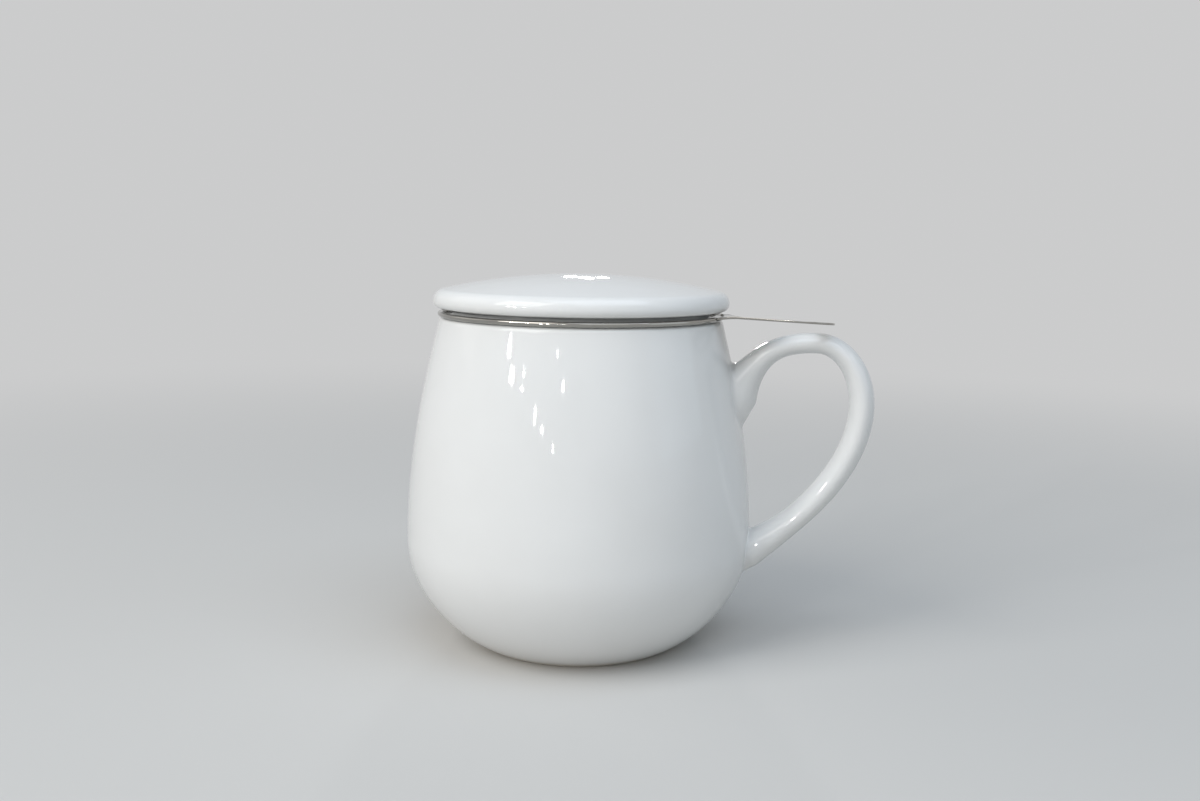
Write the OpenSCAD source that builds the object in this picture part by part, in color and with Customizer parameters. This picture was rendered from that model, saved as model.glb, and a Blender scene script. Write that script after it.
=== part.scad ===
// Porcelain tea mug with a pear-shaped body, an ear handle, a lift-out steel infuser and a loose domed lid.
// Millimetres, +Z up. The origin is on the mug's axis, in the plane of the foot ring. The handle points along +X.

/* [Mug body] */
// Outer diameter of the lip
lip_d = 80; // [72:1:96]
// Height of the lip above the table
body_h = 92.2; // [76:0.2:112]
// Widest diameter of the belly
belly_d = 98; // [90:1:120]
// Height of the widest ring of the belly
belly_h = 30; // [26:0.5:42]
// Wall thickness at the belly
wall_t = 3.6; // [2.6:0.1:5]
// Thickness of the rounded lip
lip_t = 3.5; // [2.4:0.1:4.4]
// Angle by which the wall leans inwards under the lip
lip_lean = 13.5; // [6:0.5:18]
// Thickness of the floor inside the foot ring
floor_t = 4.4; // [3:0.1:7]

/* [Foot ring] */
// Outer diameter of the foot ring's bare face
foot_d = 58; // [48:1:68]
// Width of the bare face
foot_w = 2.8; // [1.8:0.1:4.5]
// Depth of the recess inside the foot ring
foot_recess = 1.8; // [1:0.1:3]
// Angle above the table at which the wall leaves the foot ring
foot_rise = 27; // [22:1:45]

/* [Handle] */
// Distance of the grip's middle line from the belly at its farthest point
handle_reach = 29.4; // [24:0.2:38]
// Drop of the crown's middle line below the lip
crown_drop = 5.5; // [3:0.1:12]
// Height from the farthest point of the grip up to the crown
crown_rise = 17; // [12:0.2:22]
// Distance from the farthest point of the grip inwards to the crown
crown_run = 12.6; // [10:0.2:18]
// Drop of the upper root's middle below the lip
upper_root_drop = 19.6; // [15:0.2:24]
// Slope of the handle where it leaves the upper root
upper_root_slope = 62; // [40:1:70]
// Height of the lower root's middle above the table
lower_root_h = 28.2; // [22:0.2:36]
// Slope of the handle where it reaches the lower root
lower_root_slope = 30; // [20:1:45]
// Thickness of the handle at the crown
crown_t = 5.6; // [4:0.1:8]
// Thickness of the grip
grip_t = 7; // [5.5:0.1:9]
// Width of the handle across the grip
grip_w = 10.6; // [8:0.1:14]
// Thickness of the flared upper root
upper_root_t = 12.6; // [9:0.1:15]
// Thickness of the flared lower root
lower_root_t = 10.5; // [8:0.1:13]
// Extra width of both flared roots
root_flare_w = 3.4; // [1:0.1:5]
// Length over which each root flares
root_flare_len = 20; // [10:0.5:24]
// Fillet on top of the upper root
upper_fillet = 2.4; // [1.2:0.1:3]
// Fillet round the rest of both roots
root_fillet = 0.8; // [0.5:0.1:1.2]

/* [Lid] */
// Overhang of the lid beyond the lip all round
lid_overhang = 1.55; // [0.5:0.05:4]
// Height of the dome's top above the lid's lower edge
lid_rise = 9.6; // [8.6:0.1:16]
// Radius of the lid edge's upper rounding
lid_edge_upper_r = 3.5; // [2.5:0.1:4.5]
// Radius of the lid edge's lower rounding
lid_edge_lower_r = 1.8; // [1:0.1:2.4]
// Thickness of the dome
lid_t = 4.2; // [3:0.1:5]
// Width of the bare seat, from the locating ring outwards
lid_seat_w = 3.6; // [3:0.1:4]
// Depth of the locating ring below the seat
lid_ring_h = 4.8; // [3:0.1:8]
// Thickness of the locating ring
lid_ring_t = 3.4; // [2.4:0.1:5]

/* [Infuser] */
// Thickness of the rim's drawn sheet
rim_sheet = 0.4; // [0.3:0.05:0.6]
// Diameter of the curled bead round the rim's edge
bead_d = 1.4; // [1.2:0.05:1.6]
// Depth of the rim's skirt inside the mouth
skirt_h = 8; // [5:0.2:12]
// Thickness of the perforated sheet
mesh_sheet = 0.4; // [0.3:0.05:0.6]
// Depth of the basket below the lip
basket_depth = 60; // [40:1:66]
// Height of the base cup's upturned edge
base_edge_h = 4; // [3:0.2:7]
// Diameter of the perforations
hole_d = 2; // [1.6:0.1:2.4]
// Distance between neighbouring perforations
hole_pitch = 4.2; // [3.6:0.1:6]
// Width of the lapped seam down the basket's wall
seam_w = 5; // [3:0.5:8]

/* [Lift tab] */
// Thickness of the tab
tab_t = 0.6; // [0.5:0.05:0.8]
// Reach of the tab beyond the lip
tab_reach = 30.4; // [24:0.2:40]
// Width of the tab round its hole
tab_w = 20; // [16:0.5:26]
// Width of the tab where it passes through the bead
tab_root_w = 14; // [10:0.5:18]
// Diameter of the tab's hole
tab_hole_d = 13; // [8:0.5:14]
// Height by which the tab steps up beyond the bead
tab_step = 0.35; // [0.2:0.05:0.5]
// Downward slope of the tab
tab_droop = 2; // [0:0.5:3]
// Twist of the tab about its length, from use
tab_twist = 4.4; // [0:0.2:5]
// Turn of the tab away from the handle
tab_turn = -4; // [-20:1:20]

/* [Clearances] */
// Gap between surfaces that rest on each other
seat_gap = 0.05; // [0.02:0.01:0.2]
// Radial gap between sheets that are welded to each other
weld_gap = 0.05; // [0.03:0.01:0.1]
// Radial gap between the infuser's skirt and the mouth
mouth_gap = 2.1; // [1.5:0.1:3]
// Radial gap between the lid's locating ring and the basket
ring_gap = 1; // [0.4:0.1:1.5]
// Gap between the top of the rim's bead and the lid's edge
lid_gap = 1; // [0.6:0.05:2]
// Gap between the tab's sides and the ends of the bead
notch_gap = 0.4; // [0.2:0.05:0.8]

/* [Hidden] */
$fn = 96;
porcelain = [0.93, 0.93, 0.90];
steel = [0.74, 0.74, 0.73];
curve_steps = 22;
arc_steps = 10;
corner_steps = 4;
merge = 0.01;
through = 1;

// A cubic curve through p0 and p3 with the directions of its two handles
function cubic(p0, p1, p2, p3, t) =
    pow(1 - t, 3) * p0 + 3 * pow(1 - t, 2) * t * p1 + 3 * (1 - t) * t * t * p2 + pow(t, 3) * p3;
function curve(p0, p1, p2, p3, n = curve_steps) = [for (i = [0 : n]) cubic(p0, p1, p2, p3, i / n)];
function along(a) = [cos(a), sin(a)];
function arc(c, r, a0, a1, n = arc_steps) = [for (i = [0 : n]) c + r * along(a0 + (a1 - a0) * i / n)];
function backwards(p) = [for (i = [len(p) - 1 : -1 : 0]) p[i]];
function tail(p) = [for (i = [1 : len(p) - 1]) p[i]];

// ---- Mug body ----
lip_r = lip_d / 2;
belly_r = belly_d / 2;
foot_r = foot_d / 2;
foot_corner_r = 0.8;
// How far each end of a wall's curve keeps its direction, as a share of the curve's height
foot_pull = 0.32;
belly_pull_below = 0.48;
belly_pull_above = 0.43;
lip_pull = 0.15;
inner_belly_pull = 0.5;
inner_floor_pull = 0.62;
lip_steps = 16;
lip_c = [lip_r - lip_t / 2, body_h - lip_t / 2];
outer_foot = [foot_r, 0] + foot_corner_r * [sin(foot_rise), 1 - cos(foot_rise)];
outer_belly = [belly_r, belly_h];
outer_lip = lip_c + lip_t / 2 * along(lip_lean);
upper_h = body_h - belly_h;
lower_wall = curve(outer_foot, outer_foot + foot_pull * belly_h * along(foot_rise),
    outer_belly - [0, belly_pull_below * belly_h], outer_belly);
upper_wall = curve(outer_belly, outer_belly + [0, belly_pull_above * upper_h],
    outer_lip - lip_pull * upper_h * along(90 + lip_lean), outer_lip);
outer_wall = concat(lower_wall, tail(upper_wall));

floor_h = foot_recess + floor_t;
floor_flat_r = 0.55 * foot_r;
inner_floor = [floor_flat_r, floor_h];
inner_belly = [belly_r - wall_t, belly_h];
inner_lip = lip_c - lip_t / 2 * along(lip_lean);
inner_lower = curve(inner_floor, inner_floor + [inner_floor_pull * (belly_r - floor_flat_r), 0],
    inner_belly - [0, inner_belly_pull * (belly_h - floor_h)], inner_belly);
inner_upper = curve(inner_belly, inner_belly + [0, belly_pull_above * upper_h],
    inner_lip - lip_pull * upper_h * along(90 + lip_lean), inner_lip);

foot_inner_r = foot_r - foot_w;
foot_slope_r = foot_inner_r - foot_recess;

wall_table = [for (p = outer_wall) [p[1], p[0]]];

function wall_radius(h) = lookup(h, wall_table);

module mug_body() {
    color(porcelain)
        rotate_extrude()
            polygon(concat(
                [[0, foot_recess]],
                arc([foot_slope_r - foot_corner_r, foot_recess - foot_corner_r], foot_corner_r, 90, 45, corner_steps),
                arc([foot_inner_r + foot_corner_r, foot_corner_r], foot_corner_r, 225, 270, corner_steps),
                arc([foot_r, foot_corner_r], foot_corner_r, 270, 270 + foot_rise, corner_steps),
                tail(outer_wall),
                tail(arc(lip_c, lip_t / 2, lip_lean, 180 + lip_lean, lip_steps)),
                tail(backwards(inner_upper)),
                tail(backwards(inner_lower)),
                [[0, floor_h]]));
}

// ---- Handle ----
handle_sides = 40;
handle_rings = 56;
fillet_rings = 4;
cap_rings = 4;
handle_gap = 0.05;
far_x = belly_r + handle_reach;
crown = [far_x - crown_run, body_h - crown_drop];
far_side = [far_x, crown[1] - crown_rise];
upper_root = [wall_radius(body_h - upper_root_drop), body_h - upper_root_drop];
lower_root = [wall_radius(lower_root_h), lower_root_h];
// The line runs on into the wall at both roots, and its curves keep their end directions over these lengths
lead = 10;
upper_root_pull = 13;
crown_pull = 10;
grip_pull = 19;
lower_root_pull = 12;
quarter = 0.5523;
crown_swell = 0.4;
flare_power = 2.3;
into_wall = along(180 + upper_root_slope);
down_wall = along(180 + lower_root_slope);
handle_line = concat(
    [upper_root + lead * into_wall],
    curve(upper_root, upper_root - upper_root_pull * into_wall, crown - [crown_pull, 0], crown),
    tail(curve(crown, crown + [quarter * crown_run, 0], far_side + [0, quarter * crown_rise], far_side)),
    tail(curve(far_side, far_side - [0, grip_pull], lower_root - lower_root_pull * down_wall, lower_root)),
    [lower_root + lead * down_wall]);
line_s = [for (i = 0, s = 0; i < len(handle_line);
    s = s + (i < len(handle_line) - 1 ? norm(handle_line[i + 1] - handle_line[i]) : 0), i = i + 1) s];
line_x = [for (i = [0 : len(handle_line) - 1]) [line_s[i], handle_line[i][0]]];
line_z = [for (i = [0 : len(handle_line) - 1]) [line_s[i], handle_line[i][1]]];
line_end = line_s[len(line_s) - 1];
crown_s = line_s[1 + curve_steps];
far_s = line_s[1 + 2 * curve_steps];

function line_at(s) = [lookup(s, line_x), lookup(s, line_z)];
function line_turn(s, by = 0.8) = let (d = line_at(s + by) - line_at(s - by)) atan2(d[1], d[0]);
function ease(t) = let (c = min(1, max(0, t))) c * c * (3 - 2 * c);
function flare(s) = pow(max(0, 1 - max(0, s) / root_flare_len), flare_power);
function plain_t(s) = s < crown_s
    ? crown_t + crown_swell * ease((crown_s - s) / crown_s)
    : crown_t + (grip_t - crown_t) * ease((s - crown_s) / (far_s - crown_s));
function handle_t(s) = plain_t(s)
    + (upper_root_t - plain_t(s)) * flare(s - lead)
    + (lower_root_t - plain_t(s)) * flare(line_end - lead - s);
function handle_w(s) = grip_w + root_flare_w * (flare(s - lead) + flare(line_end - lead - s));
// A point of the handle's skin: s along its line, a round its oval section
function handle_point(s, a) =
    let (c = line_at(s), n = line_turn(s) + 90, u = handle_t(s) / 2 * cos(a))
    [c[0] + u * cos(n), handle_w(s) / 2 * sin(a), c[1] + u * sin(n)];
function outside(s, a) = let (p = handle_point(s, a)) norm([p[0], p[1]]) - wall_radius(p[2]) - handle_gap;
// Where the skin's line at angle a stands that far off the wall, found by halving the stretch between two places
function stands_off(s_in, s_out, a, by, n = 20) =
    let (m = (s_in + s_out) / 2)
    n == 0 ? m : outside(m, a) < by ? stands_off(m, s_out, a, by, n - 1) : stands_off(s_in, m, a, by, n - 1);
// The wall unrolled: arc length round the mug and height, and back to a point that lies on the wall
function unrolled(p) = [atan2(p[1], p[0]) * PI / 180 * wall_radius(p[2]), p[2]];
function on_wall(q) =
    let (r = wall_radius(q[1]) + handle_gap, a = q[0] / wall_radius(q[1]) * 180 / PI)
    [r * cos(a), r * sin(a), q[1]];
function middle(list) = [for (p = list) 1 / len(list)] * list;
side_angles = [for (i = [0 : handle_sides - 1]) 360 * i / handle_sides];
// The upper root's fillet grows from its sides to its top
function fillet_size(e, a) = root_fillet + (e == 0 ? (upper_fillet - root_fillet) * pow((1 + cos(a)) / 2, 2) : 0);

module mug_handle() {
    n = handle_sides;
    starts = [0, line_end];
    stops = [crown_s, far_s];
    // For the upper and the lower root: where the skin meets the wall, where the fillet leaves the skin, and where it
    // runs out on the wall
    feet = [for (e = [0, 1]) [for (a = side_angles) handle_point(stands_off(starts[e], stops[e], a, 0), a)]];
    leave = [for (e = [0, 1]) [for (a = side_angles) stands_off(starts[e], stops[e], a, fillet_size(e, a))]];
    flat = [for (e = [0, 1]) [for (p = feet[e]) unrolled(p)]];
    edge = [for (e = [0, 1]) [for (i = [0 : n - 1])
        let (d = flat[e][(i + 1) % n] - flat[e][(i + n - 1) % n], out = [d[1], -d[0]] / norm(d),
            side = out * (flat[e][i] - middle(flat[e])) < 0 ? -1 : 1)
        flat[e][i] + side * fillet_size(e, side_angles[i]) * out]];
    skin = [for (j = [0 : handle_rings]) [for (i = [0 : n - 1])
        handle_point(leave[0][i] + (leave[1][i] - leave[0][i]) * j / handle_rings, side_angles[i])]];
    fillets = [for (e = [0, 1]) [for (k = [1 : fillet_rings]) let (t = k / fillet_rings) [for (i = [0 : n - 1])
        let (p = t == 1 ? on_wall(edge[e][i]) : pow(1 - t, 2) * handle_point(leave[e][i], side_angles[i])
            + 2 * t * (1 - t) * feet[e][i] + t * t * on_wall(edge[e][i])) p]]];
    caps = [for (e = [0, 1]) [for (k = [1 : cap_rings - 1]) let (q = k / cap_rings, m = middle(edge[e]))
        [for (p = edge[e]) on_wall(p + (m - p) * q)]]];
    rings = concat(backwards(caps[0]), backwards(fillets[0]), skin, fillets[1], caps[1]);
    points = concat([for (ring = rings) each ring], [for (e = [0, 1]) on_wall(middle(edge[e]))]);
    last = (len(rings) - 1) * n;
    ends = len(rings) * n;
    function next(i) = (i + 1) % n;
    faces = concat(
        [for (j = [0 : len(rings) - 2], i = [0 : n - 1], h = [0, 1])
            let (a = j * n, b = a + n)
            h == 0 ? [a + i, b + next(i), b + i] : [a + i, a + next(i), b + next(i)]],
        [for (i = [0 : n - 1]) [ends, next(i), i]],
        [for (i = [0 : n - 1]) [ends + 1, last + i, last + next(i)]]);
    color(porcelain)
        polyhedron(points = points, faces = faces, convexity = 4);
}

// ---- Infuser: sizes that follow the mouth ----
mouth_r = lip_r - lip_t;
skirt_r = mouth_r - mouth_gap;
rim_bottom = body_h + seat_gap;
rim_top = rim_bottom + rim_sheet;
bead_overhang = 0.25;
bead_c = [lip_r + bead_overhang - bead_d / 2, rim_bottom + bead_d / 2];
bend_r = 0.9;
curl_end = 560;
basket_r = skirt_r - rim_sheet - weld_gap;
basket_in_r = basket_r - mesh_sheet;
basket_bottom = body_h - basket_depth;
basket_top = body_h - bend_r;
skirt_bottom = body_h - skirt_h;
cup_corner_r = 1.4;
hole_fn = 16;
cup_seat = basket_bottom + mesh_sheet / 2 + cup_corner_r;

// A sheet of thickness t that follows a path of its middle line
function path_dir(p, i) = let (d = p[min(len(p) - 1, i + 1)] - p[max(0, i - 1)]) d / norm(d);
function sheet(p, t) = concat(
    [for (i = [0 : len(p) - 1]) let (d = path_dir(p, i)) p[i] + t / 2 * [-d[1], d[0]]],
    [for (i = [len(p) - 1 : -1 : 0]) let (d = path_dir(p, i)) p[i] - t / 2 * [-d[1], d[0]]]);

module infuser_rim() {
    mid_r = skirt_r - rim_sheet / 2;
    flange_h = rim_bottom + rim_sheet / 2;
    curl_r = (bead_d - rim_sheet) / 2;
    color(steel)
        difference() {
            rotate_extrude()
                polygon(sheet(concat(
                    [[mid_r, skirt_bottom], [mid_r, flange_h - 2 * bend_r]],
                    arc([mid_r + bend_r, flange_h - bend_r], bend_r, 180, 90, 8),
                    arc([bead_c[0], flange_h + curl_r], curl_r, 270, curl_end, 2 * arc_steps)), rim_sheet));
            // The bead stops on either side of the tab
            rotate([0, 0, tab_turn])
                translate([bead_c[0] - bead_d, -tab_root_w / 2 - notch_gap, rim_top])
                    cube([3 * bead_d, tab_root_w + 2 * notch_gap, 2 * bead_d]);
        }
}

// Perforations of the wall: staggered rows of radial holes that stop short of the lapped seam
module wall_holes(from, to) {
    row_step = hole_pitch * sin(60);
    rows = floor((to - from) / row_step);
    start = (from + to - (rows - 1) * row_step) / 2;
    seam_angle = 2 * asin((seam_w + hole_pitch) / 2 / basket_r);
    columns = floor((360 - seam_angle) / 360 * 2 * PI * basket_r / hole_pitch);
    step = (360 - seam_angle) / columns;
    for (row = [0 : rows - 1], column = [0 : columns - 1])
        rotate([0, 0, 180 + seam_angle / 2 + (column + (row % 2 == 0 ? 0.25 : 0.75)) * step])
            translate([basket_in_r - through, 0, start + row * row_step])
                rotate([0, 90, 0])
                    cylinder(d = hole_d, h = mesh_sheet + 2 * through, $fn = hole_fn);
}

module infuser_wall() {
    band_gap = 1.2;
    holes_from = basket_bottom + base_edge_h + band_gap;
    holes_to = skirt_bottom - band_gap;
    seam_angle = 2 * asin(seam_w / 2 / basket_r);
    color(steel) {
        difference() {
            translate([0, 0, cup_seat])
                difference() {
                    cylinder(r = basket_r, h = basket_top - cup_seat);
                    translate([0, 0, -through])
                        cylinder(r = basket_in_r, h = basket_depth + 2 * through);
                }
            wall_holes(holes_from, holes_to);
        }
        // The lap of the seam stands proud of the wall between the rim's skirt and the base cup
        rotate([0, 0, 180 - seam_angle / 2])
            rotate_extrude(angle = seam_angle)
                translate([basket_r - merge, holes_from])
                    square([mesh_sheet + merge, holes_to - holes_from]);
    }
}

module infuser_base() {
    cup_r = basket_r + weld_gap + mesh_sheet;
    edge_mid_r = cup_r - mesh_sheet / 2;
    bottom_mid = basket_bottom + mesh_sheet / 2;
    ring_count = floor((cup_r - cup_corner_r - hole_d) / hole_pitch);
    ring_turn = 13;
    color(steel)
        difference() {
            rotate_extrude()
                polygon(sheet(concat(
                    [[0, bottom_mid]],
                    arc([edge_mid_r - cup_corner_r, cup_seat], cup_corner_r, 270, 360, 8),
                    [[edge_mid_r, basket_bottom + base_edge_h]]),
                    mesh_sheet));
            translate([0, 0, basket_bottom - through])
                cylinder(d = hole_d, h = mesh_sheet + 2 * through, $fn = hole_fn);
            for (k = [1 : ring_count], i = [0 : 6 * k - 1])
                rotate([0, 0, 60 * i / k + ring_turn * k])
                    translate([k * hole_pitch, 0, basket_bottom - through])
                        cylinder(d = hole_d, h = mesh_sheet + 2 * through, $fn = hole_fn);
        }
}

// The tab lies on the rim's flange, passes through the bead's notch, steps up, and slopes down and twists beyond it
tab_steps = 9;
tab_lap = 1.6;
tab_root_r = bead_c[0] - bead_d / 2 - tab_lap;
tab_end_r = lip_r + tab_reach;
tab_low = rim_top + seat_gap + tab_t / 2;
tab_level_r = bead_c[0] + bead_d;
tab_path = [[tab_root_r, tab_low], [bead_c[0], tab_low], [tab_level_r, tab_low + tab_step],
    [tab_end_r, tab_low + tab_step - (tab_end_r - tab_level_r) * tan(tab_droop)]];
function tab_h(p) = lookup(norm(p), tab_path)
    - p[1] * tan(tab_twist) * ease((norm(p) - lip_r - lid_overhang) / (tab_w / 2));

module infuser_tab() {
    end_r = tab_w / 2;
    end_c = [tab_end_r - end_r, 0];
    corner = [tab_root_r, tab_root_w / 2] - end_c;
    corner_a = atan2(corner[1], corner[0]);
    touch = corner_a - acos(end_r / norm(corner));
    // Distance from the hole's centre to the outline: a round end, straight sides and a straight root
    function outline(a) = let (b = abs(a > 180 ? a - 360 : a))
        b < touch ? end_r : b < corner_a ? end_r / cos(b - touch) : corner[0] / cos(b);
    function steps(from, to, n) = [for (i = [0 : n - 1]) from + (to - from) * i / n];
    rays = concat(steps(-touch, touch, 30), steps(touch, corner_a, 8), steps(corner_a, 360 - corner_a, 6),
        steps(360 - corner_a, 360 - touch, 8));
    section = concat(
        [for (k = [0 : tab_steps]) [k / tab_steps, 1]],
        [for (k = [tab_steps : -1 : 0]) [k / tab_steps, -1]]);
    m = len(section);
    points = [for (a = rays, q = section)
        let (p = end_c + (tab_hole_d / 2 + (outline(a) - tab_hole_d / 2) * q[0]) * along(a))
        [p[0], p[1], tab_h(p) + q[1] * tab_t / 2]];
    faces = [for (i = [0 : len(rays) - 1], k = [0 : m - 1], h = [0, 1])
        let (a = i * m, b = (i + 1) % len(rays) * m, j = (k + 1) % m)
        h == 0 ? [a + k, b + k, b + j] : [a + k, b + j, a + j]];
    color(steel)
        rotate([0, 0, tab_turn])
            polyhedron(points = points, faces = faces, convexity = 6);
}

// ---- Lid ----
seat_h = rim_top + seat_gap;
ring_r = basket_in_r - ring_gap;
lid_r = lip_r + lid_overhang;
lid_low = bead_c[1] + bead_d / 2 + lid_gap;
lid_top = lid_low + lid_rise;
edge_c = [lid_r - lid_edge_upper_r, lid_low + lid_edge_lower_r];
// The dome is a sphere that is tangent to the upper rounding of the edge and passes through the top
dome_drop = lid_top - edge_c[1];
dome_r = (pow(edge_c[0], 2) + pow(dome_drop, 2) - pow(lid_edge_upper_r, 2)) / (2 * (dome_drop - lid_edge_upper_r));
dome_c = [0, lid_top - dome_r];
dome_a = atan2(edge_c[1] - dome_c[1], edge_c[0]);

module lid() {
    hollow_r = dome_r - lid_t;
    ring_in_r = ring_r - lid_ring_t;
    corner_r = 0.9;
    hollow_edge = 1.5;
    hollow_a = acos((ring_in_r - hollow_edge) / hollow_r);
    seat_out_r = ring_r + lid_seat_w;
    seat_slope = 0.6;
    color(porcelain)
        rotate_extrude()
            polygon(concat(
                arc(dome_c, dome_r, 90, dome_a, 16),
                tail(arc(edge_c, lid_edge_upper_r, dome_a, 0, 12)),
                tail(arc([lid_r - lid_edge_lower_r, edge_c[1]], lid_edge_lower_r, 0, -90, 8)),
                [[seat_out_r + seat_slope, lid_low], [seat_out_r, seat_h], [ring_r, seat_h]],
                arc([ring_r - corner_r, seat_h - lid_ring_h + corner_r], corner_r, 0, -90, 5),
                arc([ring_in_r + corner_r, seat_h - lid_ring_h + corner_r], corner_r, 270, 180, 5),
                arc(dome_c, hollow_r, hollow_a, 90, 12)));
}

mug_body();
mug_handle();
lid();
infuser_rim();
infuser_wall();
infuser_base();
infuser_tab();
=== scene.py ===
"""A porcelain tea mug with a loose domed lid and a lift-out steel infuser: the looks around its CAD model.

The scene is in metres with +Z up. The shapes are worked out in millimetres, from the same sizes as the part's
source, and every mesh is scaled down as it is made.
"""

import math

import bmesh
import bpy
import numpy as np
from mathutils import Matrix, Vector, geometry


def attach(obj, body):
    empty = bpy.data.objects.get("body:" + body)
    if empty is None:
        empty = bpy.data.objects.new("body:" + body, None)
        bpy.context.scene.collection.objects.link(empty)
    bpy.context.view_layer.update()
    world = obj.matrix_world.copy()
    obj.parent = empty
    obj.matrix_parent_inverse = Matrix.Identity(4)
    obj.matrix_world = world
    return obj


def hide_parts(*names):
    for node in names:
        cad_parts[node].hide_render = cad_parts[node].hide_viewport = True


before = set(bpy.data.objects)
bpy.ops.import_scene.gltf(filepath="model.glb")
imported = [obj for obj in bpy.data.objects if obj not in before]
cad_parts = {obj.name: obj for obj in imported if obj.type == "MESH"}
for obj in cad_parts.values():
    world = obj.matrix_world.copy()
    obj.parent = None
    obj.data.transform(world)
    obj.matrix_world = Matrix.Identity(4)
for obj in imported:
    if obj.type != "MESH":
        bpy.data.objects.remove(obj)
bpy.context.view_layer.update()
MM = 0.001
# Points nearer than this, in millimetres, are one point
SAME = 1e-6

# ---------------------------------------------------------------- camera
TURN, PITCH, ROLL = 10.0, 8.145, 0.85
CAMERA_AT = (0.06433, -0.33258, 0.1168)
turn, pitch, roll = (math.radians(a) for a in (TURN, PITCH, ROLL))
level_right = Vector((math.cos(turn), math.sin(turn), 0))
ahead = Vector((-math.sin(turn) * math.cos(pitch), math.cos(turn) * math.cos(pitch), -math.sin(pitch)))
level_up = level_right.cross(ahead)
right = level_right * math.cos(roll) + level_up * math.sin(roll)
up = level_up * math.cos(roll) - level_right * math.sin(roll)
camera = bpy.data.objects.new("camera", bpy.data.cameras.new("camera"))
camera.data.sensor_fit = "HORIZONTAL"
camera.data.sensor_width = 36
camera.data.lens = 36
camera.data.clip_start = 0.01
camera.data.dof.use_dof = False
camera.matrix_world = Matrix.Translation(CAMERA_AT) @ Matrix((right, up, -ahead)).transposed().to_4x4()
bpy.context.scene.collection.objects.link(camera)
bpy.context.scene.camera = camera


# ---------------------------------------------------------------- curves in millimetres
def along(degrees):
    return np.array([math.cos(math.radians(degrees)), math.sin(math.radians(degrees))])


def cubic(p0, p1, p2, p3, n=40):
    t = np.linspace(0, 1, n + 1)[:, None]
    p0, p1, p2, p3 = (np.array(p, float) for p in (p0, p1, p2, p3))
    return (1 - t) ** 3 * p0 + 3 * (1 - t) ** 2 * t * p1 + 3 * (1 - t) * t * t * p2 + t**3 * p3


def arc(c, r, a0, a1, n=12):
    return np.array([np.array(c) + r * along(a0 + (a1 - a0) * i / n) for i in range(n + 1)])


def join(*parts):
    """Joins runs of points and leaves out a point that repeats the one before it."""
    p = np.vstack([np.atleast_2d(np.array(q, float)) for q in parts])
    keep = np.concatenate([[True], np.linalg.norm(np.diff(p, axis=0), axis=1) > SAME])
    return p[keep]


def sheet(path, t):
    """The outline of a sheet of thickness t along its middle line: its left side, then its right side."""
    d = np.gradient(path, axis=0)
    d /= np.linalg.norm(d, axis=1)[:, None]
    n = np.stack([-d[:, 1], d[:, 0]], 1) * t / 2
    return np.vstack([path + n, (path - n)[::-1]])


def lengths(path):
    """The length along a path up to each of its points."""
    return np.concatenate([[0], np.cumsum(np.linalg.norm(np.diff(path, axis=0), axis=1))])


def ease(t):
    t = np.clip(t, 0, 1)
    return t * t * (3 - 2 * t)


# ---------------------------------------------------------------- meshes
TURN_STEPS = 224


def face_outwards(mesh):
    """Turns the faces of each closed part of a mesh outwards."""
    work = bmesh.new()
    work.from_mesh(mesh)
    bmesh.ops.recalc_face_normals(work, faces=work.faces)
    work.to_mesh(mesh)
    work.free()


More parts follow.
